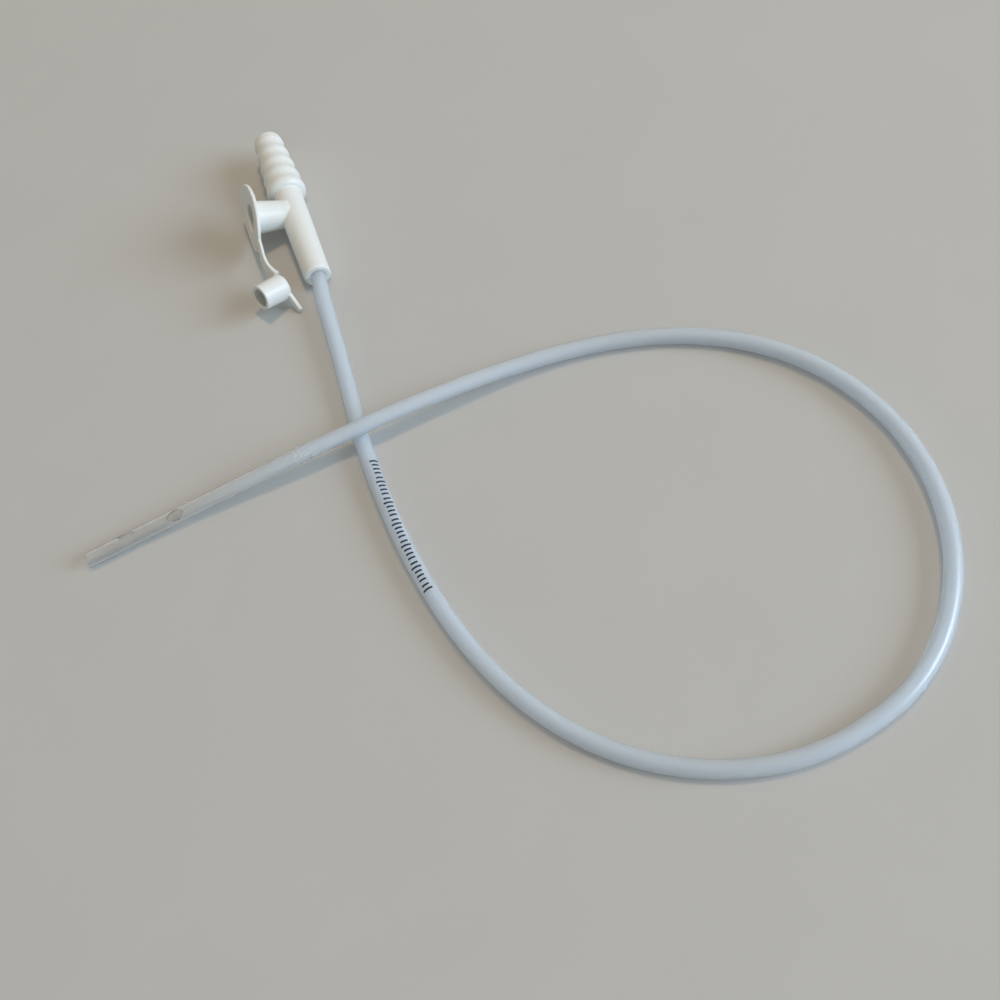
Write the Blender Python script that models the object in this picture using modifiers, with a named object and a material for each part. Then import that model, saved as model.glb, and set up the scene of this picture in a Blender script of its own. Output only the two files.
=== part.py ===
"""Suction catheter: a soft clear tube in a moulded connector that has a barbed end, a vent port and a tied cap.

Lengths are in metres. The connector lies along +Y, with its barbed end away from the tube. The surface that
everything rests on is at Z = 0, and the vent port points to -X and upwards.
"""

import math

import bmesh
import bpy
from mathutils import Matrix, Vector

MM = 0.001

# Clearances
SEAM_GAP = 0.3 * MM          # between two meshes that touch on the real object
CAP_CLEARANCE = 0.15 * MM    # round the cap when it is pushed into the port

# Catheter tube
TUBE_DIAMETER = 4.0 * MM
TUBE_WALL = 0.65 * MM
TUBE_STEP = 8.5 * MM         # spacing of the tube's rings
EYE_LENGTH = 4.6 * MM
EYE_WIDTH = 2.2 * MM
FIRST_EYE_FROM_TIP = 11.0 * MM
SECOND_EYE_FROM_TIP = 24.5 * MM
FIRST_EYE_TURN = math.radians(42.0)      # up from the level, on the connector's side of the tube
SECOND_EYE_TURN = math.radians(118.0)    # up from the same level, so past the top

# Connector body, along its own axis from the socket's mouth
BODY_LENGTH = 31.0 * MM
MOUTH_DIAMETER = 7.3 * MM
BODY_DIAMETER = 8.0 * MM
MOUTH_ROUND = 0.5 * MM
SOCKET_DEPTH = 12.0 * MM
THROAT_DIAMETER = 2.8 * MM
CHAMBER_START = 17.5 * MM
CHAMBER_DIAMETER = 5.4 * MM

# Barbed end
RING_COUNT = 5
RING_PITCH = 4.7 * MM
RING_RISE = 1.8 * MM         # from a ring's foot to its crest
RING_VALLEY = 0.45 * MM      # how deep the groove between two rings is
RING_LEAN = 0.76             # under 1 puts a groove's deepest place nearer to the ring at the tip's side
BASE_RING_DIAMETER = 11.1 * MM
TIP_RING_DIAMETER = 8.5 * MM
TIP_LENGTH = 2.6 * MM        # from the last crest to the open end
TIP_DIAMETER = 7.8 * MM
TIP_ROUND = 0.6 * MM

# Vent port, a side branch that ends in a curved thumb plate
PORT_POSITION = 24.4 * MM    # from the socket's mouth to the port's axis
PORT_ELEVATION = math.radians(24.0)
PORT_ROOT_DIAMETER = 7.8 * MM
PORT_MOUTH_DIAMETER = 9.0 * MM
PORT_REACH = 11.6 * MM       # from the body's axis to the middle of the plate
PLATE_LENGTH = 20.4 * MM
PLATE_WIDTH = 15.8 * MM
PLATE_THICKNESS = 1.0 * MM
PLATE_RISE = 0.6 * MM        # how far the plate's ends curve outwards

# Cap, a hollow plug with a pull tab
CAP_LENGTH = 8.0 * MM
CAP_DIAMETER = 7.1 * MM
CAP_TAPER = 0.3 * MM         # how much narrower the open end is
CAP_WALL = 0.9 * MM
CAP_FLOOR = 1.2 * MM
CAP_ROUND = 1.0 * MM
CAP_TURN = math.radians(24.0)            # how far the cap hangs open past the plate's plane
CAP_ROLL = math.radians(15.0)            # how far it has rolled over onto its tab
CAP_SIDE = 9.2 * MM          # sideways from the connector's axis to the middle of the closed end
CAP_BACK = 1.2 * MM          # from the socket's mouth to the middle of the closed end
TAB_LENGTH = 4.6 * MM
TAB_ROOT_WIDTH = 2.6 * MM
TAB_END_WIDTH = 1.7 * MM
TAB_THICKNESS = 1.1 * MM

# Strap between the plate and the cap
STRAP_WIDTH = 3.4 * MM
STRAP_THICKNESS = 1.0 * MM
STRAP_BEND = 3.5 * MM        # how stiffly the strap leaves its two ends
STRAP_STEPS = 10
NECK_LENGTH = 1.5 * MM       # the wider stretch of the strap that runs into the cap
NECK_WIDTH = 5.0 * MM        # where it meets the cap
NECK_THICKNESS = 1.5 * MM
ROOT_BEND_SHARE = 0.63       # of the whole turn that closes the cap; the rest is at the neck

# Free tube route: X and Y in millimetres from the socket's mouth, then the number of tube diameters that the
# tube's underside is off the surface. The last run goes over the first one in a long low hump.
ROUTE = (
    (-0.7, -8.5, 0.3), (-1.3, -17.5, 0.175), (-2.0, -28.5, 0.05), (-2.9, -41.0, 0), (-3.8, -55.5, 0),
    (-3.6, -74.0, 0), (-2.2, -92.3, 0), (0.6, -109.0, 0), (4.6, -123.3, 0), (10.1, -135.9, 0),
    (17.2, -146.9, 0), (25.7, -155.9, 0), (35.4, -162.8, 0), (45.8, -167.5, 0), (56.3, -169.8, 0),
    (67.0, -169.6, 0), (79.8, -166.4, 0), (89.6, -160.3, 0), (97.2, -151.9, 0), (103.1, -141.4, 0),
    (106.8, -128.3, 0), (107.4, -113.6, 0), (104.6, -99.6, 0), (98.7, -86.6, 0), (89.9, -75.4, 0),
    (78.9, -66.5, 0), (66.2, -60.1, 0.01), (52.4, -56.1, 0.09), (38.1, -54.3, 0.325), (23.7, -54.0, 0.69),
    (9.3, -54.3, 1), (-3.6, -54.6, 1.1), (-19.7, -54.5, 0.9), (-34.4, -54.2, 0.55), (-49.3, -54.0, 0.225),
    (-63.2, -54.3, 0.05), (-76.7, -55.1, 0),
)

ROUND_STEPS = 32             # facets round the connector
SMALL_ROUND_STEPS = 24       # facets round the port and the cap
PLATE_ROUND_STEPS = 256      # facets round the large circle that the plate is bent along
CORNER_STEPS = 3             # facets over a rounded corner
RING_STEPS = 5               # facets along the barb from one ring's crest to the next
HIDDEN_OVERLAP = 1.0 * MM    # how far joined or cut shapes run into each other


def clear_scene():
    """Remove the objects that a new Blender file holds."""
    for item in list(bpy.data.objects):
        bpy.data.objects.remove(item, do_unlink=True)


def new_collection(name):
    """Return a new collection linked to the scene."""
    collection = bpy.data.collections.new(name)
    bpy.context.scene.collection.children.link(collection)
    return collection


def new_material(name, color, roughness, alpha=1.0):
    """Return a Principled material with plain values."""
    material = bpy.data.materials.new(name)
    material.use_nodes = True
    shader = material.node_tree.nodes["Principled BSDF"]
    shader.inputs["Base Color"].default_value = (*color, 1.0)
    shader.inputs["Roughness"].default_value = roughness
    shader.inputs["Metallic"].default_value = 0.0
    shader.inputs["Alpha"].default_value = alpha
    return material


def place(name, mesh, collection, parent=None, matrix=None):
    """Put a mesh, or an empty where there is none, in a collection, under a parent."""
    item = bpy.data.objects.new(name, mesh)
    collection.objects.link(item)
    item.parent = parent
    if matrix is not None:
        item.matrix_local = matrix
    return item


def mesh_from(bm, name):
    """Turn a bmesh into mesh data and free it."""
    mesh = bpy.data.meshes.new(name)
    bm.to_mesh(mesh)
    bm.free()
    return mesh


def as_cutter(item):
    """Mark an object as a helper shape that isn't a piece."""
    item.hide_render = True
    item.display_type = "WIRE"
    return item


def turned(name, profile, steps, collection, parent=None, matrix=None):
    """Return a solid turned about its own Z axis from a profile of radius and height, from the top down."""
    bm = bmesh.new()
    corners = [bm.verts.new((radius, 0.0, height)) for radius, height in profile]
    for upper, lower in zip(corners, corners[1:]):
        bm.edges.new((upper, lower))
    item = place(name, mesh_from(bm, name), collection, parent, matrix)
    screw = item.modifiers.new("turn", "SCREW")
    screw.steps = steps
    screw.render_steps = steps
    screw.use_merge_vertices = True
    screw.merge_threshold = 0.00001
    return item


def boolean(item, operation, other):
    """Join another object to an item, or cut it away."""
    step = item.modifiers.new(operation.lower(), "BOOLEAN")
    step.operation = operation
    step.object = other
    return step


def rounded(start, end, corner, radius):
    """Return the arc's points that round a square corner between two directions."""
    points = []
    for k in range(CORNER_STEPS + 1):
        angle = 0.5 * math.pi * k / CORNER_STEPS
        along = Vector(start) * (1.0 - math.sin(angle)) + Vector(end) * (1.0 - math.cos(angle))
        point = Vector(corner) + along * radius
        points.append((point.x, point.y))
    return points


def connector_frame(collection):
    """Return an empty on the connector's axis at the socket's mouth, tipped as the connector comes to rest."""
    drop = 0.5 * (BASE_RING_DIAMETER - MOUTH_DIAMETER)
    tilt = math.atan2(drop, BODY_LENGTH + RING_RISE)
    height = 0.5 * MOUTH_DIAMETER * math.cos(tilt)
    return place("connector_frame", None, collection, None,
                 Matrix.Translation((0.0, 0.0, height)) @ Matrix.Rotation(tilt, 4, "X"))


def port_frame(collection, parent):
    """Return an empty on the connector's axis whose Z runs out along the vent port and X across the plate."""
    turn = PORT_ELEVATION - 0.5 * math.pi
    return place("port_frame", None, collection, parent,
                 Matrix.Translation((0.0, PORT_POSITION, 0.0)) @ Matrix.Rotation(turn, 4, "Y"))


def ring_crest(index):
    """Return a barb ring's radius and place, counted from the body."""
    share = index / (RING_COUNT - 1)
    radius = 0.5 * (BASE_RING_DIAMETER + share * (TIP_RING_DIAMETER - BASE_RING_DIAMETER))
    return radius, BODY_LENGTH + RING_RISE + index * RING_PITCH


def barb_end():
    """Return where the barbed end stops along the connector's axis."""
    return ring_crest(RING_COUNT - 1)[1] + TIP_LENGTH


def groove(index):
    """Return the outline from just under a ring's crest to just above the next crest towards the body."""
    radius, crest = ring_crest(index)
    next_radius = ring_crest(index - 1)[0]
    points = []
    for k in range(1, RING_STEPS):
        share = k / RING_STEPS
        depth = RING_VALLEY * math.sin(math.pi * share ** RING_LEAN) ** 2
        points.append((radius + share * (next_radius - radius) - depth, crest - share * RING_PITCH))
    return points


def shoulder():
    """Return the rounded side of the first ring, from just under its crest to the body."""
    radius, crest = ring_crest(0)
    body = 0.5 * BODY_DIAMETER
    points = []
    for k in range(1, CORNER_STEPS + 1):
        angle = 0.5 * math.pi * k / CORNER_STEPS
        points.append((body + (radius - body) * math.cos(angle), crest - RING_RISE * math.sin(angle)))
    return points


def connector_profile():
    """Return the outside of the connector as radius and height, from the barbed end to the socket's mouth."""
    top = barb_end()
    profile = [(0.0, top)]
    profile += rounded((-1.0, 0.0), (0.0, -1.0), (0.5 * TIP_DIAMETER, top), TIP_ROUND)
    for index in reversed(range(RING_COUNT)):
        profile.append(ring_crest(index))
        profile += groove(index) if index > 0 else shoulder()
    profile += rounded((0.0, 1.0), (-1.0, 0.0), (0.5 * MOUTH_DIAMETER, 0.0), MOUTH_ROUND)
    profile.append((0.0, 0.0))
    return profile


def bore_profile():
    """Return the connector's stepped bore as radius and height, past both ends."""
    chamber = 0.5 * CHAMBER_DIAMETER
    throat = 0.5 * THROAT_DIAMETER
    socket = 0.5 * TUBE_DIAMETER + SEAM_GAP
    top = barb_end() + HIDDEN_OVERLAP
    return [(0.0, top), (chamber, top), (chamber, CHAMBER_START), (throat, CHAMBER_START - (chamber - throat)),
            (throat, SOCKET_DEPTH), (socket, SOCKET_DEPTH), (socket, -HIDDEN_OVERLAP), (0.0, -HIDDEN_OVERLAP)]


def cap_radius(height):
    """Return the cap's outer radius at a height above its closed end."""
    return 0.5 * (CAP_DIAMETER - CAP_TAPER * height / CAP_LENGTH)


def press_depth():
    """Return how far the cap goes into the port, up to the strap's own thickness."""
    return CAP_LENGTH - STRAP_THICKNESS - SEAM_GAP


def curved_slab(cutters, parent):
    """Return a slab across the port, as thick as the plate, whose ends curve outwards."""
    radius = (0.5 * PLATE_LENGTH) ** 2 / (2.0 * PLATE_RISE)
    half = 0.5 * PLATE_THICKNESS
    level = PORT_REACH + radius
    turn = Matrix.Translation((0.0, 0.0, level)) @ Matrix.Rotation(0.5 * math.pi, 4, "Y")
    slab = [(0.0, PLATE_WIDTH), (radius + half, PLATE_WIDTH), (radius + half, -PLATE_WIDTH), (0.0, -PLATE_WIDTH)]
    outer = turned("plate_slab", slab, PLATE_ROUND_STEPS, cutters, parent, turn)
    side = PLATE_WIDTH + HIDDEN_OVERLAP
    hollow = [(0.0, side), (radius - half, side), (radius - half, -side), (0.0, -side)]
    inner = turned("plate_hollow", hollow, PLATE_ROUND_STEPS, cutters, parent, turn)
    boolean(outer, "DIFFERENCE", as_cutter(inner))
    return as_cutter(outer)


def thumb_plate(cutters, parent):
    """Return the curved oval plate round the port's mouth."""
    reach = PLATE_RISE + PLATE_THICKNESS
    shape = Matrix.Diagonal((PLATE_WIDTH, PLATE_LENGTH, 2.0 * reach, 1.0))
    bm = bmesh.new()
    bmesh.ops.create_cone(bm, cap_ends=True, segments=2 * SMALL_ROUND_STEPS, radius1=0.5, radius2=0.5, depth=1.0,
                          matrix=Matrix.Translation((0.0, 0.0, PORT_REACH)) @ shape)
    plate = place("plate_outline", mesh_from(bm, "plate_outline"), cutters, parent)
    boolean(plate, "INTERSECT", curved_slab(cutters, parent))
    return as_cutter(plate)


def port_branch(cutters, parent):
    """Return the solid side branch, from the middle of the body into the plate."""
    root = 0.5 * PORT_ROOT_DIAMETER
    mouth = 0.5 * PORT_MOUTH_DIAMETER
    foot = 0.25 * BODY_DIAMETER
    branch = turned("port_branch", [(0.0, PORT_REACH), (mouth, PORT_REACH), (root, 0.5 * BODY_DIAMETER),
                                    (root, foot), (0.0, foot)],
                    SMALL_ROUND_STEPS, cutters, parent)
    return as_cutter(branch)


def port_bore(cutters, parent):
    """Return the cutter for the port: a seat that follows the cap, then a narrower way into the bore."""
    seat_top = PORT_REACH + 0.5 * PLATE_THICKNESS + HIDDEN_OVERLAP
    seat_floor = PORT_REACH + 0.5 * PLATE_THICKNESS - press_depth() - 2.0 * SEAM_GAP
    wide = 0.5 * CAP_DIAMETER + CAP_CLEARANCE
    narrow = wide - 0.5 * CAP_TAPER
    way = 0.5 * CHAMBER_DIAMETER - SEAM_GAP
    bore = turned("port_bore", [(0.0, seat_top), (wide, seat_top), (narrow, seat_floor), (way, seat_floor),
                                (way, 0.0), (0.0, 0.0)],
                  SMALL_ROUND_STEPS, cutters, parent)
    return as_cutter(bore)


def build_connector(parts, cutters, frame, port, material):
    """Build the one-piece connector: socket, body, barbs, vent port and thumb plate."""
    lying = Matrix.Rotation(-0.5 * math.pi, 4, "X")
    connector = turned("connector", connector_profile(), ROUND_STEPS, parts, frame, lying)
    bore = as_cutter(turned("main_bore", bore_profile(), SMALL_ROUND_STEPS, cutters, frame, lying))
    boolean(connector, "UNION", port_branch(cutters, port))
    boolean(connector, "UNION", thumb_plate(cutters, port))
    boolean(connector, "DIFFERENCE", port_bore(cutters, port))
    boolean(connector, "DIFFERENCE", bore)
    connector.data.materials.append(material)
    return connector


def cap_profile():
    """Return the hollow cap as radius and height above its closed end, up its inside and down its outside."""
    wide = cap_radius(0.0)
    narrow = cap_radius(CAP_LENGTH)
    profile = [(0.0, CAP_FLOOR), (wide - CAP_WALL - 0.5 * CAP_ROUND, CAP_FLOOR), (wide - CAP_WALL, 2.0 * CAP_FLOOR),
               (narrow - CAP_WALL, CAP_LENGTH), (narrow, CAP_LENGTH)]
    profile += rounded((0.0, 1.0), (-1.0, 0.0), (wide, 0.0), CAP_ROUND)
    profile.append((0.0, 0.0))
    return profile


def tab_tip():
    """Return the corners at the tab's narrow end, in the cap's own space."""
    reach = -cap_radius(0.0) - TAB_LENGTH
    return [Vector((side * 0.5 * TAB_END_WIDTH, reach, height))
            for side in (-1.0, 1.0) for height in (CAP_FLOOR - TAB_THICKNESS, CAP_FLOOR)]


def cap_frame(collection, port):
    """Return an empty at the cap's closed end, as it lies on its tab or its rim, with Z out of its open end."""
    turn = port.matrix_world.to_3x3() @ Matrix.Rotation(CAP_TURN, 3, "X") @ Matrix.Rotation(-CAP_ROLL, 3, "Z")
    rise = turn.col[2].z
    rim = (0.5 * CAP_DIAMETER - CAP_ROUND) * math.sqrt(1.0 - rise * rise) + CAP_ROUND * (1.0 - rise)
    tab = max(-(turn @ corner).z for corner in tab_tip())
    place_at = Matrix.Translation((-CAP_SIDE, CAP_BACK, max(rim, tab)))
    return place("cap_frame", None, collection, None, place_at @ turn.to_4x4())


def strap_ends(port, cap_at):
    """Return the strap's two end points and the ways it leaves them, in world space."""
    plate_end = 0.5 * PLATE_LENGTH + SEAM_GAP
    start = port.matrix_world @ Vector((0.0, -plate_end, PORT_REACH + PLATE_RISE))
    start_way = port.matrix_world.to_3x3() @ Vector((0.0, -1.0, 0.0))
    neck_end = cap_radius(0.0) + NECK_LENGTH + 2.0 * SEAM_GAP
    end = cap_at.matrix_world @ Vector((0.0, neck_end, CAP_FLOOR - 0.5 * STRAP_THICKNESS))
    end_way = cap_at.matrix_world.to_3x3() @ Vector((0.0, 1.0, 0.0))
    return start, start_way, end, end_way


def turning_point(axis, angle, start, end):
    """Return the place of the axis that a turn of that angle takes one point to another about."""
    return 0.5 * (start + end) + axis.cross(end - start) / (2.0 * math.tan(0.5 * angle))


def turn_about(point, axis, angle):
    """Return the matrix of a turn about an axis through a point."""
    return Matrix.Translation(point) @ Matrix.Rotation(angle, 4, axis) @ Matrix.Translation(-point)


def closing_turn(port, cap_at):
    """Return the axis, the angle and the matrix of the turn that takes the cap outwards to above the port."""
    above = PORT_REACH + 0.5 * PLATE_THICKNESS + 2.0 * SEAM_GAP + CAP_LENGTH
    start = cap_at.matrix_world.translation
    end = port.matrix_world @ Vector((0.0, 0.0, above))
    start_way = cap_at.matrix_world.to_3x3().col[2]
    end_way = -port.matrix_world.to_3x3().col[2]
    axis = (start_way - end_way).cross(end - start).normalized()
    flat_start = start_way - axis * start_way.dot(axis)
    flat_end = end_way - axis * end_way.dot(axis)
    angle = math.atan2(axis.dot(flat_start.cross(flat_end)), flat_start.dot(flat_end)) % (2.0 * math.pi)
    return axis, angle, turn_about(turning_point(axis, angle, start, end), axis, angle)


def strap_hinges(collection, port, cap_at):
    """Return two empties with Z along the lines that the strap bends about, at the plate and at the neck."""
    axis, angle, whole = closing_turn(port, cap_at)
    start, _, end, _ = strap_ends(port, cap_at)
    root = start + port.matrix_world.to_3x3().col[2] * 0.5 * STRAP_THICKNESS
    root_turn = turn_about(root, axis, angle * ROOT_BEND_SHARE)
    rest_of_turn = root_turn.inverted() @ whole
    neck = turning_point(axis, angle * (1.0 - ROOT_BEND_SHARE), end, rest_of_turn @ end)
    facing = axis.to_track_quat("Z", "X").to_matrix().to_4x4()
    return (place("strap_hinge", None, collection, None, Matrix.Translation(root) @ facing),
            place("neck_hinge", None, collection, None, Matrix.Translation(neck) @ facing))


def hang_on(item, parent):
    """Parent an item to another and leave it where it is."""
    bpy.context.view_layer.update()
    item.parent = parent
    item.matrix_parent_inverse = parent.matrix_world.inverted()


def pull_tab(cutters, parent):
    """Return the small tab that sticks out of the cap's closed end, away from the strap."""
    root = cap_radius(0.0) - CAP_WALL
    length = TAB_LENGTH + CAP_WALL
    bm = bmesh.new()
    bmesh.ops.create_cube(bm, size=1.0)
    for corner in bm.verts:
        width = TAB_ROOT_WIDTH if corner.co.y > 0.0 else TAB_END_WIDTH
        corner.co = Vector((corner.co.x * width, corner.co.y * length, corner.co.z * TAB_THICKNESS))
    middle = Matrix.Translation((0.0, -root - 0.5 * length, CAP_FLOOR - 0.5 * TAB_THICKNESS))
    tab = place("tab_shape", mesh_from(bm, "tab_shape"), cutters, parent, middle)
    edge = tab.modifiers.new("edge", "BEVEL")
    edge.width = 0.3 * TAB_THICKNESS
    edge.segments = 2
    return as_cutter(tab)


def build_cap(parts, cutters, frame, material):
    """Build the hollow cap with its pull tab."""
    cap = turned("vent_cap", cap_profile(), SMALL_ROUND_STEPS, parts, frame)
    boolean(cap, "UNION", pull_tab(cutters, frame))
    cap.data.materials.append(material)
    return cap


def build_neck(parts, frame, material):
    """Build the stretch of the strap that widens into the cap's side."""
    near = cap_radius(0.0) + SEAM_GAP
    bm = bmesh.new()
    bmesh.ops.create_cube(bm, size=1.0)
    for corner in bm.verts:
        at_cap = corner.co.y < 0.0
        width = NECK_WIDTH if at_cap else STRAP_WIDTH
        thickness = NECK_THICKNESS if at_cap else STRAP_THICKNESS
        corner.co = Vector((corner.co.x * width, corner.co.y * NECK_LENGTH, corner.co.z * thickness))
    middle = Matrix.Translation((0.0, near + 0.5 * NECK_LENGTH, CAP_FLOOR - 0.5 * STRAP_THICKNESS))
    neck = place("strap_neck", mesh_from(bm, "strap_neck"), parts, None, frame.matrix_world @ middle)
    neck.data.materials.append(material)
    return neck


def build_strap(parts, port, frame, material):
    """Build the flat strap from the plate's end to the neck, which it twists towards."""
    start, start_way, end, end_way = strap_ends(port, frame)
    start_across = port.matrix_world.to_3x3().col[0]
    end_across = frame.matrix_world.to_3x3().col[0]
    handles = (start, start + start_way * STRAP_BEND, end + end_way * STRAP_BEND, end)
    bm = bmesh.new()
    edge = None
    for k in range(STRAP_STEPS + 1):
        t = k / STRAP_STEPS
        weights = ((1 - t) ** 3, 3 * t * (1 - t) ** 2, 3 * t * t * (1 - t), t ** 3)
        centre = sum((handle * weight for handle, weight in zip(handles, weights)), Vector())
        across = start_across.lerp(end_across, t).normalized()
        sides = (centre - 0.5 * STRAP_WIDTH * across, centre + 0.5 * STRAP_WIDTH * across)
        if edge is None:
            edge = bm.edges.new([bm.verts.new(side) for side in sides])
            continue
        grown = bmesh.ops.extrude_edge_only(bm, edges=[edge])["geom"]
        edge = next(item for item in grown if isinstance(item, bmesh.types.BMEdge))
        low, high = sorted(edge.verts, key=lambda corner: corner.co.dot(across))
        low.co, high.co = sides
    strap = place("cap_strap", mesh_from(bm, "cap_strap"), parts)
    thick = strap.modifiers.new("thickness", "SOLIDIFY")
    thick.thickness = STRAP_THICKNESS
    thick.offset = 0.0
    strap.data.materials.append(material)
    return strap


def smooth_path(points, step):
    """Return evenly spaced points on a smooth curve through the given points."""
    ends = [2.0 * points[0] - points[1]] + list(points) + [2.0 * points[-1] - points[-2]]
    dense = []
    for before, a, b, after in zip(ends, ends[1:], ends[2:], ends[3:]):
        gaps = [math.sqrt((q - p).length) for p, q in ((before, a), (a, b), (b, after))]
        a_way = ((a - before) / gaps[0] - (b - before) / (gaps[0] + gaps[1]) + (b - a) / gaps[1]) * gaps[1]
        b_way = ((b - a) / gaps[1] - (after - a) / (gaps[1] + gaps[2]) + (after - b) / gaps[2]) * gaps[1]
        for k in range(24):
            t = k / 24.0
            dense.append(a * (2 * t ** 3 - 3 * t ** 2 + 1) + b * (3 * t ** 2 - 2 * t ** 3)
                         + a_way * (t ** 3 - 2 * t ** 2 + t) + b_way * (t ** 3 - t ** 2))
    dense.append(points[-1])
    reach = [0.0]
    for a, b in zip(dense, dense[1:]):
        reach.append(reach[-1] + (b - a).length)
    count = round(reach[-1] / step)
    even = []
    index = 0
    for k in range(count + 1):
        target = reach[-1] * k / count
        while index < len(dense) - 2 and reach[index + 1] < target:
            index += 1
        share = (target - reach[index]) / (reach[index + 1] - reach[index])
        even.append(dense[index].lerp(dense[index + 1], share))
    return even


def tube_path(frame):
    """Return the tube's centre line, from the bottom of the socket to the open tip."""
    inside = frame.matrix_world @ Vector((0.0, SOCKET_DEPTH - SEAM_GAP, 0.0))
    mouth = frame.matrix_world.translation.copy()
    route = [Vector((x * MM, y * MM, (height + 0.5) * TUBE_DIAMETER)) for x, y, height in ROUTE]
    path = smooth_path([inside, mouth] + route, TUBE_STEP)
    for point in path:
        point.z = max(point.z, 0.5 * TUBE_DIAMETER)
    return path


def place_from_tip(path, distance):
    """Return the centre line's point at a distance from the tip, and the way it runs there."""
    for back, front in zip(reversed(path[:-1]), reversed(path)):
        length = (front - back).length
        if distance <= length:
            break
        distance -= length
    return front.lerp(back, distance / length), (front - back).normalized()


def eye_cutter(cutters, path, from_tip, turn, name):
    """Return the cutter of one oval eye through the tube's wall near the tip."""
    centre, way = place_from_tip(path, from_tip)
    level = way.cross(Vector((0.0, 0.0, 1.0))).normalized()
    away = Matrix.Rotation(-turn, 3, way) @ level
    facing = Matrix((way, away.cross(way), away)).transposed().to_4x4()
    shape = Matrix.Diagonal((EYE_LENGTH, EYE_WIDTH, TUBE_DIAMETER, 1.0))
    bm = bmesh.new()
    bmesh.ops.create_cone(bm, cap_ends=True, segments=12, radius1=0.5, radius2=0.5, depth=1.0,
                          matrix=Matrix.Translation((0.0, 0.0, 0.5 * TUBE_DIAMETER)) @ shape)
    return as_cutter(place(name, mesh_from(bm, name), cutters, None, Matrix.Translation(centre) @ facing))


def build_tube(parts, cutters, frame, material):
    """Build the hollow tube along its route, with two eyes near the open tip."""
    path = tube_path(frame)
    curve = bpy.data.curves.new("tube_path", "CURVE")
    curve.dimensions = "3D"
    curve.bevel_depth = 0.5 * TUBE_DIAMETER
    curve.bevel_resolution = 4
    spline = curve.splines.new("POLY")
    spline.points.add(len(path) - 1)
    for point, place_at in zip(spline.points, path):
        point.co = (*place_at, 1.0)
    line = place("tube_line", curve, parts)
    bpy.context.view_layer.update()
    evaluated = line.evaluated_get(bpy.context.evaluated_depsgraph_get())
    mesh = bpy.data.meshes.new_from_object(evaluated)
    tube = place("catheter_tube", mesh, parts, None, line.matrix_world.copy())
    bpy.data.objects.remove(line, do_unlink=True)
    wall = tube.modifiers.new("wall", "SOLIDIFY")
    wall.thickness = TUBE_WALL
    wall.offset = -1.0
    wall.use_even_offset = True
    for name, from_tip, turn in (("first_eye", FIRST_EYE_FROM_TIP, FIRST_EYE_TURN),
                                 ("second_eye", SECOND_EYE_FROM_TIP, SECOND_EYE_TURN)):
        boolean(tube, "DIFFERENCE", eye_cutter(cutters, path, from_tip, turn, name))
    tube.data.materials.clear()
    tube.data.materials.append(material)
    return tube


def stand_on_origin(pieces):
    """Move everything so that the origin is on the surface, under the middle of the given pieces."""
    bpy.context.view_layer.update()
    depsgraph = bpy.context.evaluated_depsgraph_get()
    corners = []
    for piece in pieces:
        shape = piece.evaluated_get(depsgraph)
        corners += [shape.matrix_world @ corner.co for corner in shape.data.vertices]
    middle = [0.5 * (min(c[i] for c in corners) + max(c[i] for c in corners)) for i in range(2)]
    for item in bpy.data.objects:
        if item.parent is None:
            item.matrix_world = Matrix.Translation((-middle[0], -middle[1], 0.0)) @ item.matrix_world


def main():
    """Build the whole catheter."""
    clear_scene()
    parts = new_collection("suction_catheter")
    cutters = new_collection("cutters")
    white = new_material("white_moulding", (0.86, 0.88, 0.87), 0.38)
    clear = new_material("clear_tube", (0.72, 0.79, 0.83), 0.25, 0.6)
    frame = connector_frame(parts)
    port = port_frame(parts, frame)
    bpy.context.view_layer.update()
    cap_at = cap_frame(parts, port)
    bpy.context.view_layer.update()
    strap_hinge, neck_hinge = strap_hinges(parts, port, cap_at)
    connector = build_connector(parts, cutters, frame, port, white)
    cap = build_cap(parts, cutters, cap_at, white)
    neck = build_neck(parts, cap_at, white)
    strap = build_strap(parts, port, cap_at, white)
    build_tube(parts, cutters, frame, clear)
    hang_on(strap, strap_hinge)
    hang_on(neck_hinge, strap_hinge)
    hang_on(neck, neck_hinge)
    hang_on(cap_at, neck_hinge)
    stand_on_origin((connector, cap, neck, strap))


if __name__ == "__main__":
    main()
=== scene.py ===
"""Suction catheter, dressed: soft moulded connector, tied cap, flexible strap, clear tube and printed marks.

Lengths are in metres, in the frame of the solid model. The connector lies along +Y, with its barbed end away
from the tube. The vent port points to -X and upwards, and the surface underneath is at Z = 0.
"""

import math

import bmesh
import bpy
from bpy.props import FloatProperty, FloatVectorProperty, IntProperty, PointerProperty, StringProperty
from mathutils import Matrix, Vector


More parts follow.
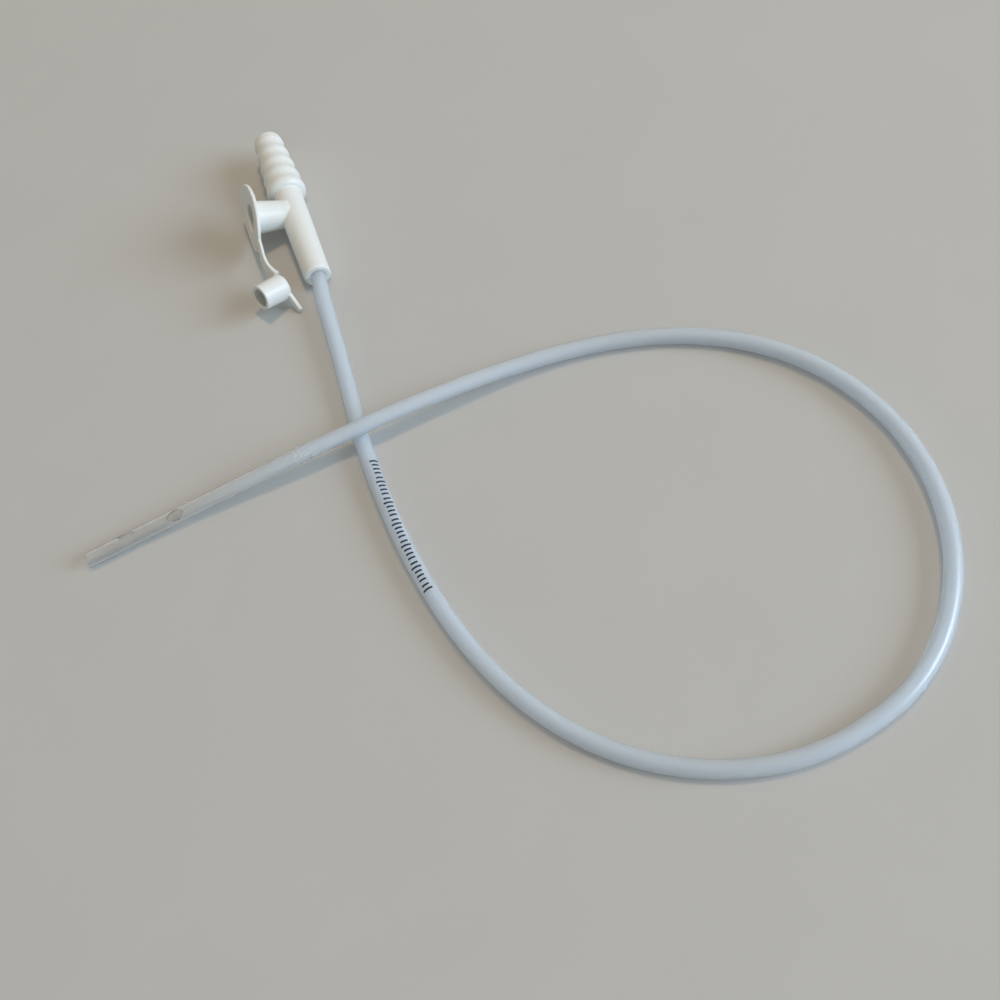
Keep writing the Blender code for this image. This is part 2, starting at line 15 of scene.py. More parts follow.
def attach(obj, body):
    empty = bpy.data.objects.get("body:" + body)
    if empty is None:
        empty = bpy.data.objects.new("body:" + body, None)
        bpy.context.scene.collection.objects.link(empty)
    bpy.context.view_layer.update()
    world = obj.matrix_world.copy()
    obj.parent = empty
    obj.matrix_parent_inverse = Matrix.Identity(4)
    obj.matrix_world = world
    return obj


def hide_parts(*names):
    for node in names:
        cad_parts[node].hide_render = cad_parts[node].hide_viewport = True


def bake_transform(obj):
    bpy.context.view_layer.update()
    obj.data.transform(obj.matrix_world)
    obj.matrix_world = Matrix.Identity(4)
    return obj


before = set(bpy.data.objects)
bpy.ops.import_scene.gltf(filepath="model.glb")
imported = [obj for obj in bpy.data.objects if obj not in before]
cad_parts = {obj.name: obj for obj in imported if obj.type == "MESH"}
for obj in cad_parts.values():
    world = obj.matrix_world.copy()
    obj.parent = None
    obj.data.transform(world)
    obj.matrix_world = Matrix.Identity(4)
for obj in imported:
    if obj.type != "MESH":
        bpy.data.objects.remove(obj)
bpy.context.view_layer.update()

bl_info = {
    "name": "Suction Catheter",
    "version": (1, 0, 0),
    "blender": (4, 5, 0),
    "location": "View3D > Sidebar > Catheter",
    "description": "Builds the surfaces, materials and stage of a suction catheter over its solid model",
    "category": "Object",
}

MM = 0.001
MOUTH = Vector((0.006099, -0.023984, 0.003644))      # middle of the socket's mouth
CONNECTOR_WAY = Vector((0.0, 0.998326, 0.05783))     # along the connector, from the mouth to the barbs
ROUTE_ORIGIN = Vector((0.006099, -0.023984, 0.0))    # the mouth's place on the surface

# Free tube route: X and Y in metres from the socket's mouth, then how many tube diameters its underside is
# off the surface. The last run goes over the first one in a long low hump.
ROUTE = (
    (-0.0007, -0.0085, 0.3), (-0.0013, -0.0175, 0.175), (-0.0020, -0.0285, 0.05), (-0.0029, -0.0410, 0),
    (-0.0038, -0.0555, 0), (-0.0036, -0.0740, 0), (-0.0022, -0.0923, 0), (0.0006, -0.1090, 0),
    (0.0046, -0.1233, 0), (0.0101, -0.1359, 0), (0.0172, -0.1469, 0), (0.0257, -0.1559, 0),
    (0.0354, -0.1628, 0), (0.0458, -0.1675, 0), (0.0563, -0.1698, 0), (0.0670, -0.1696, 0),
    (0.0798, -0.1664, 0), (0.0896, -0.1603, 0), (0.0972, -0.1519, 0), (0.1031, -0.1414, 0),
    (0.1068, -0.1283, 0), (0.1074, -0.1136, 0), (0.1046, -0.0996, 0), (0.0987, -0.0866, 0),
    (0.0899, -0.0754, 0), (0.0789, -0.0665, 0), (0.0662, -0.0601, 0.01), (0.0524, -0.0561, 0.09),
    (0.0381, -0.0543, 0.325), (0.0237, -0.0540, 0.69), (0.0093, -0.0543, 1), (-0.0036, -0.0546, 1.1),
    (-0.0197, -0.0545, 0.9), (-0.0344, -0.0542, 0.55), (-0.0493, -0.0540, 0.225), (-0.0632, -0.0543, 0.05),
    (-0.0767, -0.0551, 0),
)

# The strap's centre line at rest: where its band leaves the plate and the neck, in which direction, and which
# way is across it there
STRAP_START = Vector((-0.005046, -0.010394, 0.009402))
STRAP_START_WAY = Vector((0.0, -0.9983, -0.0578))
STRAP_START_ACROSS = Vector((0.4067, -0.0528, 0.912))
STRAP_END = Vector((-0.005118, -0.018235, 0.007072))
STRAP_END_WAY = Vector((-0.2536, 0.858, 0.4466))
STRAP_END_ACROSS = Vector((0.489, -0.2846, 0.8245))
STRAP_BEND = 3.5 * MM        # how stiffly the band leaves its two ends
NECK_LENGTH = 2.1 * MM       # from the band's end to the cap's side

# Stretches of the strap, in shares of its band from the plate to the neck. They overlap a little, and the two
# outer ones run into what carries them.
ROOT_SPAN = (-0.08, 0.52)
BAND_SPAN = (0.50, 1.02)
NECK_SINK = 0.05             # how far the last stretch runs into the cap's side
FLARE_START = 0.8            # where the strap begins to widen towards the cap
FLARE_THICKENING = 0.7       # how much thicker it gets there
EDGE_POWER = 0.35            # under 1 squares the strap's section across its width
FACE_POWER = 0.6             # and across its thickness
NEARBY = 0.01                # share of the band over which its direction is taken

# Fineness and small shapes
CURVE_STEPS = 24             # points on the tube's curve between two points of its route
FINE_STEP = 0.25 * MM        # spacing of the points that the ticks are placed by
EASE_FACTOR = 0.5            # how far one easing moves a point towards its neighbours
LIP_SHARE = 0.25             # of the tube's wall that is rounded off at each edge of the tip
LIP_BULGE = 0.3              # of that rounding, where its middle is
EYE_SIDES = 48               # facets round an eye
LONG_EVERY = 5               # each fifth tick is a long one
INK_SINK = 0.01 * MM         # how far a tick reaches into the tube's skin
INK_HEIGHT = 0.03 * MM       # its whole thickness
TUBE_CREASE = math.radians(40.0)     # sharper edges than this stay sharp
STRAP_CREASE = math.radians(60.0)

# The tube looks clearer and greyer towards its tip, between these two places on X
CLEARING_START = -5.0 * MM
CLEARING_END = -50.0 * MM
STRAIGHT_SHARE = 0.56        # of the light towards a shadow that goes straight through one skin of the tube

# Stage: the viewing angle, and for each light its heading on the surface, its elevation in degrees, and its
# distance and size in metres
CAMERA_PLACE = Vector((0.0338, -0.27638, 0.2516))
CAMERA_RIGHT = Vector((0.9162, -0.3232, -0.2371))
CAMERA_UP = Vector((0.4003, 0.7685, 0.4991))
CAMERA_BACK = Vector((0.0209, -0.5522, 0.8335))
SENSOR_WIDTH = 36.0          # millimetres
LENS = 47.16                 # millimetres
LIGHT_FOCUS = Vector((0.02, -0.07, 0.0))
WINDOW_PLACE = ((0.922, -0.48), 24.0, 3.0, (1.8, 1.3))
HIGH_PLACE = ((1.0, 0.15), 73.0, 2.0, (0.3, 0.25))
SURFACE_REACH = 3.0          # from its middle to each side
SURFACE_DROP = 0.05 * MM     # below the tube, so that the two never share a plane


class CatheterMouldings(bpy.types.PropertyGroup):
    """Sizes of the white mouldings' finished surfaces."""

    connector_skin: FloatProperty(
        name="Connector skin", description="Spacing of the connector's surface mesh", default=0.22 * MM,
        unit="LENGTH", precision=5)
    cap_skin: FloatProperty(
        name="Cap skin", description="Spacing of the cap's surface mesh", default=0.14 * MM,
        unit="LENGTH", precision=5)
    softening: IntProperty(
        name="Softening", description="How many times edges and inner corners are eased", default=5, min=0)
    strap_width: FloatProperty(
        name="Strap width", description="Width of the strap at its middle", default=3.2 * MM,
        unit="LENGTH", precision=5)
    strap_thickness: FloatProperty(
        name="Strap thickness", description="Thickness of the strap at its middle", default=0.95 * MM,
        unit="LENGTH", precision=5)
    strap_flare: FloatProperty(
        name="Strap flare", description="How much wider the strap gets where it runs into the cap",
        default=2.0 * MM, unit="LENGTH", precision=5)
    bond_inset: FloatProperty(
        name="Bond inset", description="How far the bond is set back from the socket's mouth",
        default=0.12 * MM, unit="LENGTH", precision=5)
    bond_depth: FloatProperty(
        name="Bond depth", description="Length of the bond between socket and tube", default=3.0 * MM,
        unit="LENGTH", precision=5)
    bond_width: FloatProperty(
        name="Bond width", description="How far the bond reaches into the socket's wall", default=0.6 * MM,
        unit="LENGTH", precision=5)
    bond_overlap: FloatProperty(
        name="Bond overlap", description="How far the bond reaches into the tube's wall", default=0.12 * MM,
        unit="LENGTH", precision=5)


class CatheterTube(bpy.types.PropertyGroup):
    """Sizes of the soft tube, its eyes and its marks."""

    diameter: FloatProperty(
        name="Diameter", description="Outside diameter of the tube", default=4.0 * MM,
        unit="LENGTH", precision=5)
    wall: FloatProperty(
        name="Wall", description="Thickness of the tube's wall", default=0.65 * MM,
        unit="LENGTH", precision=5)
    in_socket: FloatProperty(
        name="In socket", description="Length of the tube that is held in the socket", default=11.7 * MM,
        unit="LENGTH", precision=5)
    ring_step: FloatProperty(
        name="Ring step", description="Spacing of the finished tube's rings", default=1.4 * MM,
        unit="LENGTH", precision=5)
    sides: IntProperty(name="Sides", description="Facets round the tube", default=40, min=8)
    eye_length: FloatProperty(
        name="Eye length", description="Length of a side eye", default=4.6 * MM, unit="LENGTH", precision=5)
    eye_width: FloatProperty(
        name="Eye width", description="Width of a side eye", default=2.2 * MM, unit="LENGTH", precision=5)
    first_eye: FloatProperty(
        name="First eye", description="Distance of the first eye from the tip", default=11.0 * MM,
        unit="LENGTH", precision=5)
    first_eye_turn: FloatProperty(
        name="First eye turn", description="How far up from the level the first eye faces", subtype="ANGLE",
        default=math.radians(42.0))
    second_eye: FloatProperty(
        name="Second eye", description="Distance of the second eye from the tip", default=24.5 * MM,
        unit="LENGTH", precision=5)
    second_eye_turn: FloatProperty(
        name="Second eye turn", description="How far up from the same level the second eye faces",
        subtype="ANGLE", default=math.radians(118.0))
    mark_start: FloatProperty(
        name="Marks start", description="Distance of the first mark from the socket's mouth",
        default=63.5 * MM, unit="LENGTH", precision=5)
    mark_count: IntProperty(name="Marks", description="Number of printed ticks", default=31, min=1)
    mark_pitch: FloatProperty(
        name="Mark pitch", description="Spacing of the printed ticks", default=1.3 * MM,
        unit="LENGTH", precision=5)
    mark_width: FloatProperty(
        name="Mark width", description="Thickness of a printed line", default=0.48 * MM,
        unit="LENGTH", precision=5)
    mark_long: FloatProperty(
        name="Long mark", description="Length of every fifth tick, round the tube", default=2.5 * MM,
        unit="LENGTH", precision=5)
    mark_short: FloatProperty(
        name="Short mark", description="Length of the other ticks, round the tube", default=1.8 * MM,
        unit="LENGTH", precision=5)
    mark_turn: FloatVectorProperty(
        name="Mark turn", description="How far round from the top the first and the last tick are", size=2,
        subtype="NONE", default=(math.radians(44.0), math.radians(-6.0)))


class CatheterColours(bpy.types.PropertyGroup):
    """Colours as sRGB hex values."""

    moulding: StringProperty(name="Moulding", description="White of the moulded parts", default="E4E5E2")
    tube: StringProperty(name="Tube", description="Tint of the soft tube", default="EFF5FA")
    tip: StringProperty(name="Tip", description="Tint of the tube near its open tip", default="F3F3F1")
    through: StringProperty(name="Through", description="Tint of light that goes through", default="FAFBFC")
    ink: StringProperty(name="Ink", description="Dark blue of the printed marks", default="11152A")
    thin_ink: StringProperty(name="Thin ink", description="Ink where its cover is thin", default="222945")
    surface: StringProperty(name="Surface", description="Colour of the surface", default="C8C7C5")
    mottle: StringProperty(name="Mottle", description="Second tone of the surface", default="C4C3C1")
    daylight: StringProperty(name="Daylight", description="Tint of the window light", default="CCE4FA")
    lamp: StringProperty(name="High light", description="Tint of the light from above", default="FFDCB0")
    room: StringProperty(name="Room", description="Tint of the light from all round", default="FCFFF6")
    backdrop: StringProperty(name="Backdrop", description="Colour seen past the surface", default="C6C5C0")


class CatheterStage(bpy.types.PropertyGroup):
    """Strength of the lights."""

    window: FloatProperty(name="Window", description="Watts of the low wide light", default=80.0, min=0.0)
    high: FloatProperty(name="High light", description="Watts of the high light", default=10.5, min=0.0)
    room: FloatProperty(name="Room", description="Strength of the light all round", default=0.32, min=0.0)


# Building blocks


def linear(code):
    """Turn an sRGB hex value into linear red, green, blue and alpha."""
    parts = [int(code[i:i + 2], 16) / 255.0 for i in (0, 2, 4)]
    return tuple(v / 12.92 if v <= 0.04045 else ((v + 0.055) / 1.055) ** 2.4 for v in parts) + (1.0,)


def add_node(tree, kind, settings=None, links=None):
    """Add a node with its settings and its incoming links, and return it."""
    node = tree.nodes.new(kind)
    for name, value in (settings or {}).items():
        if isinstance(name, int) or name in node.inputs:
            node.inputs[name].default_value = value
        else:
            setattr(node, name, value)
    for name, source in (links or {}).items():
        tree.links.new(source, node.inputs[name])
    return node


def new_material(name):
    """Return an empty node material's tree, with the material."""
    material = bpy.data.materials.new(name)
    material.use_nodes = True
    material.node_tree.nodes.clear()
    return material, material.node_tree


def put(name, mesh, material):
    """Put a mesh in the scene as a piece with one material, shaded smooth."""
    piece = bpy.data.objects.new(name, mesh)
    bpy.context.scene.collection.objects.link(piece)
    mesh.materials.clear()
    mesh.materials.append(material)
    mesh.shade_smooth()
    return piece


def evaluated(piece):
    """Apply a piece's modifiers to its mesh."""
    bpy.context.view_layer.update()
    made = piece.evaluated_get(bpy.context.evaluated_depsgraph_get())
    mesh = bpy.data.meshes.new_from_object(made)
    piece.modifiers.clear()
    piece.data = mesh
    return piece


def moulded_skin(name, node, spacing, softening, material, filling=None):
    """Return a solid's surface as it leaves a mould, with every edge and inner corner eased.

    A filling is a closed mesh that becomes one with the solid.
    """
    piece = put(name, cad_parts[node].data.copy(), material)
    if filling is not None:
        joined = bmesh.new()
        joined.from_mesh(piece.data)
        joined.from_mesh(filling)
        joined.to_mesh(piece.data)
        joined.free()
    skin = piece.modifiers.new("skin", "REMESH")
    skin.mode = "VOXEL"
    skin.voxel_size = spacing
    skin.use_smooth_shade = True
    ease = piece.modifiers.new("ease", "SMOOTH")
    ease.factor = EASE_FACTOR
    ease.iterations = softening
    evaluated(piece)
    piece.data.materials.clear()
    piece.data.materials.append(material)
    piece.data.shade_smooth()
    return piece


def smooth_path(points, step):
    """Return evenly spaced points on a smooth curve through the given points."""
    ends = [2.0 * points[0] - points[1]] + list(points) + [2.0 * points[-1] - points[-2]]
    dense = []
    for before, a, b, after in zip(ends, ends[1:], ends[2:], ends[3:]):
        gaps = [math.sqrt((q - p).length) for p, q in ((before, a), (a, b), (b, after))]
        a_way = ((a - before) / gaps[0] - (b - before) / (gaps[0] + gaps[1]) + (b - a) / gaps[1]) * gaps[1]
        b_way = ((b - a) / gaps[1] - (after - a) / (gaps[1] + gaps[2]) + (after - b) / gaps[2]) * gaps[1]
        for k in range(CURVE_STEPS):
            t = k / CURVE_STEPS
            dense.append(a * (2 * t ** 3 - 3 * t ** 2 + 1) + b * (3 * t ** 2 - 2 * t ** 3)
                         + a_way * (t ** 3 - 2 * t ** 2 + t) + b_way * (t ** 3 - t ** 2))
    dense.append(points[-1])
    reach = [0.0]
    for a, b in zip(dense, dense[1:]):
        reach.append(reach[-1] + (b - a).length)
    count = round(reach[-1] / step)
    even = []
    index = 0
    for k in range(count + 1):
        target = reach[-1] * k / count
        while index < len(dense) - 2 and reach[index + 1] < target:
            index += 1
        share = (target - reach[index]) / (reach[index + 1] - reach[index])
        even.append(dense[index].lerp(dense[index + 1], share))
    return even


def tube_line(sizes, step):
    """Return the tube's centre line, from the bottom of the socket to the open tip."""
    inside = MOUTH + CONNECTOR_WAY * sizes.in_socket
    route = [ROUTE_ORIGIN + Vector((x, y, (height + 0.5) * sizes.diameter)) for x, y, height in ROUTE]
    path = smooth_path([inside, MOUTH] + route, step)
    for point in path:
        point.z = max(point.z, 0.5 * sizes.diameter)
    return path


def line_frames(path):
    """Return a level, a raised and a forward direction at each point of a path."""
    frames = []
    for k, point in enumerate(path):
        way = (path[min(k + 1, len(path) - 1)] - path[max(k - 1, 0)]).normalized()
        side = way.cross(Vector((0.0, 0.0, 1.0))).normalized()
        frames.append((side, side.cross(way).normalized(), way))
    return frames


def lathe_along(path, stations, sides):
    """Return a closed surface of rings along a path, each at a station's place, offset and radius."""
    frames = line_frames(path)
    bm = bmesh.new()
    rings = []
    for index, ahead, radius in stations:
        side, up, way = frames[index]
        centre = path[index] + way * ahead
        ring = []
        for k in range(sides):
            angle = 2.0 * math.pi * k / sides
            ring.append(bm.verts.new(centre + (side * math.cos(angle) + up * math.sin(angle)) * radius))
        rings.append(ring)
    for ring, following in zip(rings, rings[1:] + rings[:1]):
        for k in range(sides):
            turn = (k + 1) % sides
            bm.faces.new((ring[k], ring[turn], following[turn], following[k]))
    bmesh.ops.recalc_face_normals(bm, faces=bm.faces)
    return bm


def mesh_from(bm, name):
    """Turn a bmesh into mesh data and free it."""
    mesh = bpy.data.meshes.new(name)
    bm.to_mesh(mesh)
    bm.free()
    return mesh


# Materials


def moulded_polyethylene():
    """White low-density polyethylene, injection moulded: a waxy satin white that light enters a little way.

    The eye sees soft bright sides, no deep black in the shade, and a faint unevenness from the mould.
    """
    material, tree = new_material("low_density_polyethylene_moulded")
    colours = bpy.context.scene.catheter_colours
    place = add_node(tree, "ShaderNodeTexCoord")
    # the mould's fine texture is 0.1 mm wide and is drawn 0.6 mm wide, so that it shows
    grain = add_node(tree, "ShaderNodeTexNoise", {"Scale": 1.0 / (0.6 * MM), "Detail": 3.0},
                     {"Vector": place.outputs["Object"]})
    # flow of the melt: broad bands about 7 mm apart
    flow = add_node(tree, "ShaderNodeTexNoise", {"Scale": 1.0 / (7.0 * MM), "Detail": 2.0},
                    {"Vector": place.outputs["Object"]})
    gloss = add_node(tree, "ShaderNodeMapRange", {"To Min": 0.36, "To Max": 0.50},
                     {"Value": flow.outputs["Fac"]})
    bump = add_node(tree, "ShaderNodeBump", {"Strength": 0.25, "Distance": 0.02 * MM},
                    {"Height": grain.outputs["Fac"]})
    shader = add_node(tree, "ShaderNodeBsdfPrincipled", {
        "Base Color": linear(colours.moulding), "IOR": 1.51, "Subsurface Weight": 0.15,
        "Subsurface Radius": (1.0, 0.9, 0.8), "Subsurface Scale": 0.8 * MM,
    }, {"Roughness": gloss.outputs["Result"], "Normal": bump.outputs["Normal"]})
    add_node(tree, "ShaderNodeOutputMaterial", {}, {"Surface": shader.outputs["BSDF"]})
    return material


def extruded_vinyl():
    """Soft plasticised PVC, extruded: milky, bluish and half clear, with a wet-looking skin.

    Light goes through it and spreads, so its shadow is pale and its bore and wall hardly show.
    """
    material, tree = new_material("plasticised_pvc_extruded")
    colours = bpy.context.scene.catheter_colours
    place = add_node(tree, "ShaderNodeTexCoord")
    # die lines and haze of the extrusion, about 1.5 mm apart
    haze = add_node(tree, "ShaderNodeTexNoise", {"Scale": 1.0 / (1.5 * MM), "Detail": 3.0},
                    {"Vector": place.outputs["Object"]})
    bump = add_node(tree, "ShaderNodeBump", {"Strength": 0.05, "Distance": 0.02 * MM},
                    {"Height": haze.outputs["Fac"]})
    # the last run before the tip is clearer and greyer than the rest of the tube
    along = add_node(tree, "ShaderNodeSeparateXYZ", {}, {"Vector": place.outputs["Object"]})
    tip = add_node(tree, "ShaderNodeMapRange", {"From Min": CLEARING_START, "From Max": CLEARING_END},
                   {"Value": along.outputs["X"]})
    milky = add_node(tree, "ShaderNodeMapRange", {"To Min": 0.26, "To Max": 0.34},
                     {"Value": haze.outputs["Fac"]})
    smoother = add_node(tree, "ShaderNodeMapRange", {"To Min": 1.0, "To Max": 0.4},
                        {"Value": tip.outputs["Result"]})
    gloss = add_node(tree, "ShaderNodeMath", {"operation": "MULTIPLY"}, {
        0: milky.outputs["Result"], 1: smoother.outputs["Result"]})
    clarity = add_node(tree, "ShaderNodeMapRange", {"To Min": 0.71, "To Max": 0.92},
                       {"Value": tip.outputs["Result"]})
    tone = add_node(tree, "ShaderNodeMix", {
        "data_type": "RGBA", 6: linear(colours.tube), 7: linear(colours.tip)}, {0: tip.outputs["Result"]})
    shader = add_node(tree, "ShaderNodeBsdfPrincipled", {"IOR": 1.53}, {
        "Base Color": tone.outputs[2], "Transmission Weight": clarity.outputs["Result"],
        "Roughness": gloss.outputs["Value"], "Normal": bump.outputs["Normal"]})
    # part of the light goes straight through on its way to a shadow, so the inside and the shadow stay pale
    clear = add_node(tree, "ShaderNodeBsdfTransparent", {"Color": linear(colours.through)})
    ray = add_node(tree, "ShaderNodeLightPath")
    share = add_node(tree, "ShaderNodeMath", {"operation": "MULTIPLY", 1: STRAIGHT_SHARE},
                     {0: ray.outputs["Is Shadow Ray"]})
    mixed = add_node(tree, "ShaderNodeMixShader", {}, {
        0: share.outputs["Value"], 1: shader.outputs["BSDF"], 2: clear.outputs["BSDF"]})
    add_node(tree, "ShaderNodeOutputMaterial", {}, {"Surface": mixed.outputs["Shader"]})
    return material


def pad_printed_ink():
    """Dark blue pad-printing ink: a thin satin film with slightly worn cover."""
    material, tree = new_material("pad_printing_ink")
    colours = bpy.context.scene.catheter_colours
    place = add_node(tree, "ShaderNodeTexCoord")
    # uneven cover, in specks of 0.25 mm
    cover = add_node(tree, "ShaderNodeTexNoise", {"Scale": 1.0 / (0.25 * MM), "Detail": 2.0},
                     {"Vector": place.outputs["Object"]})
    tone = add_node(tree, "ShaderNodeMix", {
        "data_type": "RGBA", 6: linear(colours.ink), 7: linear(colours.thin_ink)}, {0: cover.outputs["Fac"]})
    shader = add_node(tree, "ShaderNodeBsdfPrincipled", {"Roughness": 0.45},
                      {"Base Color": tone.outputs[2]})
    add_node(tree, "ShaderNodeOutputMaterial", {}, {"Surface": shader.outputs["BSDF"]})
    return material


def matt_laminate():
    """Matt pale laminate under the object, with a very faint mottle."""
    material, tree = new_material("matt_laminate_surface")
    colours = bpy.context.scene.catheter_colours
    place = add_node(tree, "ShaderNodeTexCoord")
    # mottle about 30 mm across
    mottle = add_node(tree, "ShaderNodeTexNoise", {"Scale": 1.0 / (30.0 * MM), "Detail": 3.0},
                      {"Vector": place.outputs["Object"]})
    tone = add_node(tree, "ShaderNodeMix", {
        "data_type": "RGBA", 6: linear(colours.surface), 7: linear(colours.mottle),
    }, {0: mottle.outputs["Fac"]})
    shader = add_node(tree, "ShaderNodeBsdfPrincipled", {"Roughness": 0.62, "Specular IOR Level": 0.3},
                      {"Base Color": tone.outputs[2]})
    add_node(tree, "ShaderNodeOutputMaterial", {}, {"Surface": shader.outputs["BSDF"]})
    return material


def shared(make):
    """Return the material that a function makes, made once."""
    made = bpy.context.scene.get("catheter_" + make.__name__)
    if made is None:
        made = make()
        bpy.context.scene["catheter_" + make.__name__] = made
    return made


# Pieces


class CATHETER_OT_tube(bpy.types.Operator):
    """Make the soft clear tube with its open tip and side eyes"""

    bl_idname = "catheter.tube"
    bl_label = "Clear tube"

    def execute(self, context):
        sizes = context.scene.catheter_tube
        material = shared(extruded_vinyl)
        path = tube_line(sizes, sizes.ring_step)
        outer = 0.5 * sizes.diameter
        inner = outer - sizes.wall
        lip = LIP_SHARE * sizes.wall
        last = len(path) - 1
        stations = [(k, 0.0, outer) for k in range(last)]
        middle = LIP_BULGE * lip
        stations += [(last, -lip, outer), (last, -middle, outer - middle), (last, 0.0, outer - lip)]
        stations += [(last, 0.0, inner + lip), (last, -middle, inner + middle), (last, -lip, inner)]
        stations += [(k, 0.0, inner) for k in reversed(range(last))]
        mesh = mesh_from(lathe_along(path, stations, sizes.sides), "clear_tube")
        tube = put("clear_tube", mesh, material)
        for name, from_tip, turn in (("first_eye", sizes.first_eye, sizes.first_eye_turn),
                                     ("second_eye", sizes.second_eye, sizes.second_eye_turn)):
            cutter = self.eye_cutter(sizes, path, from_tip, turn, name, material)
            cut = tube.modifiers.new(name, "BOOLEAN")
            cut.operation = "DIFFERENCE"
            cut.object = cutter
        evaluated(tube)
        tube.data.shade_smooth()
        tube.data.set_sharp_from_angle(angle=TUBE_CREASE)
        for name in ("first_eye", "second_eye"):
            bpy.data.objects.remove(bpy.data.objects[name], do_unlink=True)
        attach(tube, "catheter")
        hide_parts("catheter_tube")
        return {"FINISHED"}

    def eye_cutter(self, sizes, path, from_tip, turn, name, material):
        """Return the oval prism that cuts one side eye."""
        for back, front in zip(reversed(path[:-1]), reversed(path)):
            length = (front - back).length
            if from_tip <= length:
                break
            from_tip -= length
        centre = front.lerp(back, from_tip / length)
        way = (front - back).normalized()
        level = way.cross(Vector((0.0, 0.0, 1.0))).normalized()
        away = Matrix.Rotation(-turn, 3, way) @ level
        facing = Matrix((way, away.cross(way), away)).transposed().to_4x4()
        shape = Matrix.Diagonal((sizes.eye_length, sizes.eye_width, sizes.diameter, 1.0))
        bm = bmesh.new()
        bmesh.ops.create_cone(bm, cap_ends=True, segments=EYE_SIDES, radius1=0.5, radius2=0.5, depth=1.0,
                              matrix=Matrix.Translation((0.0, 0.0, 0.5 * sizes.diameter)) @ shape)
        cutter = put(name, mesh_from(bm, name), material)
        cutter.matrix_world = Matrix.Translation(centre) @ facing
        cutter.hide_render = True
        return cutter


class CATHETER_OT_marks(bpy.types.Operator):
    """Print a plain row of graduation ticks on the tube"""

    bl_idname = "catheter.marks"
    bl_label = "Printed ticks"

    def execute(self, context):
        """Lay each tick on the tube's skin as a thin curved film."""
        sizes = context.scene.catheter_tube
        path = tube_line(sizes, FINE_STEP)
        frames = line_frames(path)
        step = sum((b - a).length for a, b in zip(path, path[1:])) / (len(path) - 1)
        first, last = sizes.mark_turn
        bm = bmesh.new()
        for mark in range(sizes.mark_count):
            share = mark / max(1, sizes.mark_count - 1)
            index = round((sizes.in_socket + sizes.mark_start + mark * sizes.mark_pitch) / step)
            side, up, way = frames[index]
            length = sizes.mark_long if mark % LONG_EVERY == 0 else sizes.mark_short
            turn = first + (last - first) * share
            self.film(bm, path[index], side, up, way, sizes, length, turn)
        marks = put("printed_ticks", mesh_from(bm, "printed_ticks"), shared(pad_printed_ink))
        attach(marks, "catheter")
        return {"FINISHED"}

    def film(self, bm, centre, side, up, way, sizes, length, turn):
        """Add one closed film of ink to the mesh, bent round the tube."""
        outer = 0.5 * sizes.diameter
        steps = 8
        rows = []
        for k in range(steps + 1):
            angle = turn + (k / steps - 0.5) * length / outer
            facing = up * math.cos(angle) - side * math.sin(angle)
            row = []
            for ahead, lift in ((-0.5, 0.0), (-0.5, 1.0), (0.5, 1.0), (0.5, 0.0)):
                radius = outer - INK_SINK + INK_HEIGHT * lift
                row.append(bm.verts.new(centre + facing * radius + way * sizes.mark_width * ahead))
            rows.append(row)
        for row, following in zip(rows, rows[1:]):
            for k in range(4):
                turn_to = (k + 1) % 4
                bm.faces.new((row[k], row[turn_to], following[turn_to], following[k]))
        bm.faces.new(reversed(rows[0]))
        bm.faces.new(rows[-1])
        bmesh.ops.recalc_face_normals(bm, faces=bm.faces)


class CATHETER_OT_connector(bpy.types.Operator):
    """Make the moulded connector: socket, body, barbs, vent port and thumb plate"""

    bl_idname = "catheter.connector"
    bl_label = "Connector"

    def execute(self, context):
        """Ease the connector's solid into a moulded surface, closed on the tube at the socket's mouth."""
        sizes = context.scene.catheter_mouldings
        piece = moulded_skin("connector_moulding", "connector", sizes.connector_skin, sizes.softening,
                             shared(moulded_polyethylene), self.bond(context, sizes))
        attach(piece, "catheter")
        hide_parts("connector")
        return {"FINISHED"}

    def bond(self, context, sizes):
        """Return the ring of bonded plastic that fills the gap between the socket's mouth and the tube."""
        outer = 0.5 * context.scene.catheter_tube.diameter
        ends = (sizes.bond_inset, sizes.bond_inset + sizes.bond_depth)
        path = [MOUTH + CONNECTOR_WAY * end for end in ends]
        radii = (outer - sizes.bond_overlap, outer + sizes.bond_width)
        stations = [(0, 0.0, radii[0]), (0, 0.0, radii[1]), (1, 0.0, radii[1]), (1, 0.0, radii[0])]
        return mesh_from(lathe_along(path, stations, context.scene.catheter_tube.sides), "bond")


class CATHETER_OT_cap(bpy.types.Operator):
    """Make the hollow cap with its pull tab"""

    bl_idname = "catheter.cap"
    bl_label = "Vent cap"

    def execute(self, context):
        """Ease the cap's solid into a moulded surface."""
        sizes = context.scene.catheter_mouldings
        piece = moulded_skin("cap_moulding", "vent_cap", sizes.cap_skin, sizes.softening,
                             shared(moulded_polyethylene))
        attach(piece, "cap")
        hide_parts("vent_cap")
        return {"FINISHED"}


